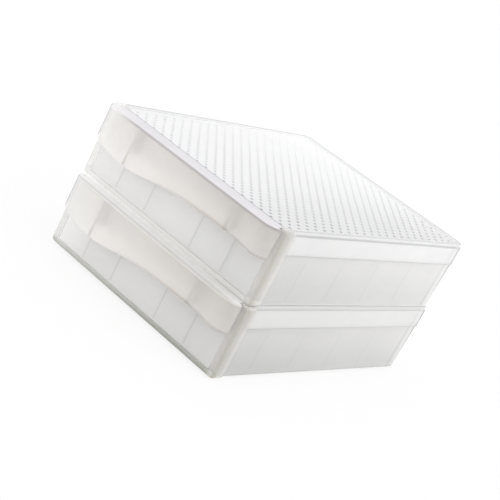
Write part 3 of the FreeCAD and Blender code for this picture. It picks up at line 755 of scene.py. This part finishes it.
def makeHandle(size):
    low, behind = size["top"] - size["drop"] - size["spareLow"], size["back"] + size["runOut"]
    flap = addBlock("handle", (-size["half"], size["front"], low), (size["half"], behind, size["top"]))
    roundOff(flap, size["corner"], 12, lambda edge: runsAlong(edge, 2) and flatAt(edge, 1, size["front"]))
    roundOff(flap, size["ledgeRound"], 4, lambda edge: flatAt(edge, 2, size["top"])
             and not flatAt(edge, 1, behind))
    deleteFaces(flap, lambda face: flatAt(face, 2, low))
    cutAt(flap, (0, size["back"], 0), (0, 1, 0), clear=True)
    step = 2 * (size["half"] - size["corner"]) / size["columns"]
    columns = [-size["half"] + size["corner"] + k * step for k in range(1, size["columns"])]
    for x in [-size["seatHalf"], size["seatHalf"]] + columns:
        cutAt(flap, (x, 0, 0), (1, 0, 0))
    shapeWave(flap, size, low)
    choose(flap, "EDGE", lambda edge: flatAt(edge, 1, size["back"]) and flatAt(edge, 2, size["top"])
           and all(abs(vert.co.x) < (size["seatHalf"] + slack) * mm for vert in edge.verts))
    extrudeBy(0, size["seatBack"] - size["back"], 0)
    thickenFlap(flap, size)
    joinPieces(flap, gussets(size))
    return flap


def shapeWave(flap, size, low):
    choose(flap, "VERT", lambda vert: near(vert.co.z, low))
    mesh = bmesh.from_edit_mesh(flap.data)
    places = sorted({round(vert.co.x / mm, 3) for vert in mesh.verts if near(vert.co.z, low)})
    for x in places:
        choose(flap, "VERT", lambda vert: near(vert.co.z, low) and near(vert.co.x, x))
        beadTop = size["top"] - waveDrop(size, x) + size["bead"]
        bpy.ops.transform.translate(value=(0, 0, (beadTop - low) * mm))
    choose(flap, "EDGE", lambda edge: edge.is_boundary and not flatAt(edge, 1, size["back"])
           and not flatAt(edge, 2, size["top"]))
    extrudeBy(0, 0, -size["bead"])


def thickenFlap(flap, size):
    deselectAll()
    thick = flap.vertex_groups.new(name="thick")
    for vert in flap.data.vertices:
        drop = size["top"] - vert.co.z / mm
        inBead = drop > waveDrop(size, vert.co.x / mm) - size["bead"] - slack
        thick.add([vert.index], 1.0 if inBead else size["wall"] / size["beadThick"], "REPLACE")
    applyModifier(flap, "SOLIDIFY", thickness=size["beadThick"] * mm, offset=-1, use_even_offset=True,
                  vertex_group="thick")
    softenEdges(flap, size["soft"], 3)


def gussets(size):
    made = []
    for x in size["gussets"]:
        left, right = x - size["gussetThick"] / 2, x + size["gussetThick"] / 2
        web = addBlock("gusset",
                       (left, size["front"] + size["wall"] - hair, size["top"] - size["gussetDrop"]),
                       (right, frontFrame["front"], size["top"] - size["wall"] + hair / 2))
        softenEdges(web, size["gussetSoft"])
        made.append(web)
    return made


# Dividers: plates that stand in the drawer's guides

# painted shade: the front end of each divider drawn dark where it meets the drawer's front
dividerEnd = [(back, -132.0, -134.0)]
divider = {"thick": 1.6, "front": -134.7, "back": 142.2, "low": 9.6, "top": 46.6, "corner": 4.0, "soft": 0.5,
           "look": {**plain, "alpha": 0.4, "paintedShades": [lowerShade, (dividerEnd, grey(0.40))],
                    "denser": [(dividerEnd, 0.6)]}}


def makeDivider(size, x):
    plate = addBlock("divider", (x - size["thick"] / 2, size["front"], size["low"]),
                     (x + size["thick"] / 2, size["back"], size["top"]))
    roundOff(plate, size["corner"], 6, lambda edge: runsAlong(edge, 0))
    softenEdges(plate, size["soft"], 3)
    return plate


# Feet: soft pads with a stem that sits in the housing's floor, hollowed from below

feet = {"radius": 8.0, "height": 2.2, "stem": 2.5, "stemTop": 4.0, "places": [(86, -101.5), (86, 128.5)],
        "wall": 2.2, "hollow": 0.5, "soft": 0.35, "sides": 32,
        "look": {**plain, "colour": (0.90, 0.905, 0.90), "alpha": 0.8, "roughness": 0.6}}


def makeFeet(size):
    pads = []
    for x, y in [(side * x, y) for side in (-1, 1) for x, y in size["places"]]:
        deselectAll()
        bpy.ops.mesh.primitive_cylinder_add(vertices=size["sides"], radius=size["radius"] * mm,
                                            depth=size["height"] * mm,
                                            location=(x * mm, y * mm, size["height"] / 2 * mm))
        pad = bpy.context.object
        bpy.ops.object.transform_apply(location=True, rotation=True, scale=True)
        choose(pad, "FACE", lambda face: flatAt(face, 2, 0))
        bpy.ops.mesh.inset(thickness=size["wall"] * mm)
        extrudeBy(0, 0, size["hollow"])
        choose(pad, "FACE", lambda face: flatAt(face, 2, size["height"]))
        bpy.ops.mesh.inset(thickness=(size["radius"] - size["stem"]) * mm)
        extrudeBy(0, 0, size["stemTop"] - size["height"])
        softenEdges(pad, size["soft"])
        pads.append(pad)
    joinPieces(pads[0], pads[1:])
    return pads[0]


# Dotted panel: the CAD node itself, with its own material, which has painted shade on and round its holes
# and a faint painted glow in them

# slopes that find the walls of the holes, where painted shade and a painted glow go
holeWall, holeTop = (up, 69.66, 69.5), (up, 68.2, 68.4)
ventPanel = {"look": {**plain, "colour": (0.995, 0.995, 1.0), "alpha": 0.85, "cloudScale": 8.0,
                      # painted shade: darker towards the front and the right, the holes' walls darker and
                      # more so to the right, and a dark line along the front edge
                      "paintedShades": [lowerShade, ([(back, 150, 20)], grey(0.965)),
                                ([(back, 20, -130)], (0.98, 0.98, 0.985)),
                                ([(across, 0, 100)], grey(0.87)),
                                ([holeWall], grey(0.95)),
                                ([holeWall, (across, -110, 40)], (0.82, 0.82, 0.83)),
                                ([(back, -125.6, -126.6)], (0.70, 0.70, 0.73))],
                      # painted light: a faint glow in the holes, more at the back left
                      "glow": [([holeWall, holeTop], 0.08),
                               ([holeWall, holeTop, (back, -80, 100), (across, 90, -60)], 0.2)]}}


def frostAndShadePanel(panel):
    material = frosted("frostedPanel", panel["look"])
    for tier in tiers:
        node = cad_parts[f"{tier}_vent_panel"]
        node.data.materials.clear()
        node.data.materials.append(material)
    print("finished vent panels")


# Stage: camera, floor, world and lamp, with places in metres

sensorWidth = 36
picture = {"pixels": 500, "focalPixels": 1398.3}  # the picture's width and the focal length in pixels
camera = {"place": (0.67195, -1.02562, 0.43782), "clip": (0.05, 60),
          "right": (0.66743, 0.60233, 0.43787), "down": (0.52604, 0.03482, -0.84975),
          "ahead": (-0.52708, 0.79748, -0.29361)}


def makeCamera(view):
    data = bpy.data.cameras.new("camera")
    data.sensor_width = sensorWidth
    data.lens = picture["focalPixels"] / picture["pixels"] * sensorWidth
    data.clip_start, data.clip_end = view["clip"]
    eye = bpy.data.objects.new("camera", data)
    bpy.context.scene.collection.objects.link(eye)
    turn = Matrix((view["right"], -Vector(view["down"]), -Vector(view["ahead"]))).transposed().to_4x4()
    eye.matrix_world = Matrix.Translation(view["place"]) @ turn
    bpy.context.scene.camera = eye


stageValues = {"floorSize": 24.0, "floorColour": (0.9, 0.9, 0.9, 1), "floorRoughness": 0.9,
               "whiteShare": 0.86, "world": 1.0, "worldColour": (1.0, 1.0, 1.0, 1), "sun": 0.62,
               "sunAngle": 60, "sunFrom": (0.6, -0.1, 0.8)}


def seenDirectly(nodes, links):
    # camera, mirror and clear-glass rays see the white background
    path = nodes.new("ShaderNodeLightPath")
    either = mathNode(nodes, links, "MAXIMUM", path.outputs["Is Camera Ray"], path.outputs["Is Glossy Ray"])
    return mathNode(nodes, links, "MAXIMUM", either, path.outputs["Is Transmission Ray"])


def makeStage(stage):
    deselectAll()
    bpy.ops.mesh.primitive_plane_add(size=stage["floorSize"], location=(0, 0, 0))
    floor = bpy.context.object
    floor.name = floor.data.name = "floor"
    floor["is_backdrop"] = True
    material = bpy.data.materials.new("paleFloor")
    material.use_nodes = True
    nodes, links = material.node_tree.nodes, material.node_tree.links
    shader = nodes["Principled BSDF"]
    shader.inputs["Base Color"].default_value = stage["floorColour"]
    shader.inputs["Roughness"].default_value = stage["floorRoughness"]
    white = nodes.new("ShaderNodeEmission")
    mix = nodes.new("ShaderNodeMixShader")
    share = mathNode(nodes, links, "MULTIPLY", seenDirectly(nodes, links), stage["whiteShare"])
    links.new(share, mix.inputs[0])
    links.new(shader.outputs[0], mix.inputs[1])
    links.new(white.outputs[0], mix.inputs[2])
    links.new(mix.outputs[0], nodes["Material Output"].inputs["Surface"])
    floor.data.materials.append(material)


def makeLight(stage):
    world = bpy.data.worlds.new("studio")
    bpy.context.scene.world = world
    world.use_nodes = True
    nodes, links = world.node_tree.nodes, world.node_tree.links
    light = nodes["Background"]
    light.inputs["Color"].default_value = stage["worldColour"]
    light.inputs["Strength"].default_value = stage["world"]
    white = nodes.new("ShaderNodeBackground")
    mix = nodes.new("ShaderNodeMixShader")
    links.new(seenDirectly(nodes, links), mix.inputs[0])
    links.new(light.outputs[0], mix.inputs[1])
    links.new(white.outputs[0], mix.inputs[2])
    links.new(mix.outputs[0], nodes["World Output"].inputs["Surface"])
    lamp = bpy.data.lights.new("softSun", "SUN")
    lamp.energy = stage["sun"]
    lamp.angle = math.radians(stage["sunAngle"])
    sun = bpy.data.objects.new("softSun", lamp)
    sun.rotation_euler = Vector(stage["sunFrom"]).to_track_quat("Z", "Y").to_euler()
    bpy.context.scene.collection.objects.link(sun)


makeCamera(camera)
makeStage(stageValues)
makeLight(stageValues)
for make, values, part, body, skin, slot in (
        (makeHousing, housing, "housing", "unit", "frostedHousing", "frosted_housing"),
        (makeFrontFrame, frontFrame, "frontFrame", "unit", "frostedFrame", "frosted_frame"),
        (makeFeet, feet, "feet", "unit", "softFoot", "soft_foot"),
        (makeLidFrame, lidFrame, "lidFrame", "lid", "frostedLid", "frosted_lid"),
        (makeDrawer, drawer, "drawer", "tray", "frostedDrawer", "frosted_drawer"),
        (makeHandle, handle, "handle", "tray", "frostedHandle", "frosted_handle")):
    placeInTiers(make(values), part, body, frosted(skin, values["look"]))
dividerSkin = frosted("frostedDivider", divider["look"])
for number, place in enumerate(drawer["dividers"], start=1):
    plate = makeDivider(divider, place)
    placeInTiers(plate, f"divider{number}", f"divider_{number}", dividerSkin)
frostAndShadePanel(ventPanel)

scene = bpy.context.scene
scene.view_settings.view_transform = "Standard"
scene.cycles.max_bounces = 32
scene.cycles.diffuse_bounces = 12
scene.cycles.transmission_bounces = 32
scene.cycles.transparent_max_bounces = 48
deselectAll()
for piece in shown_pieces():
    print(piece.name, len(piece.data.polygons), "faces")
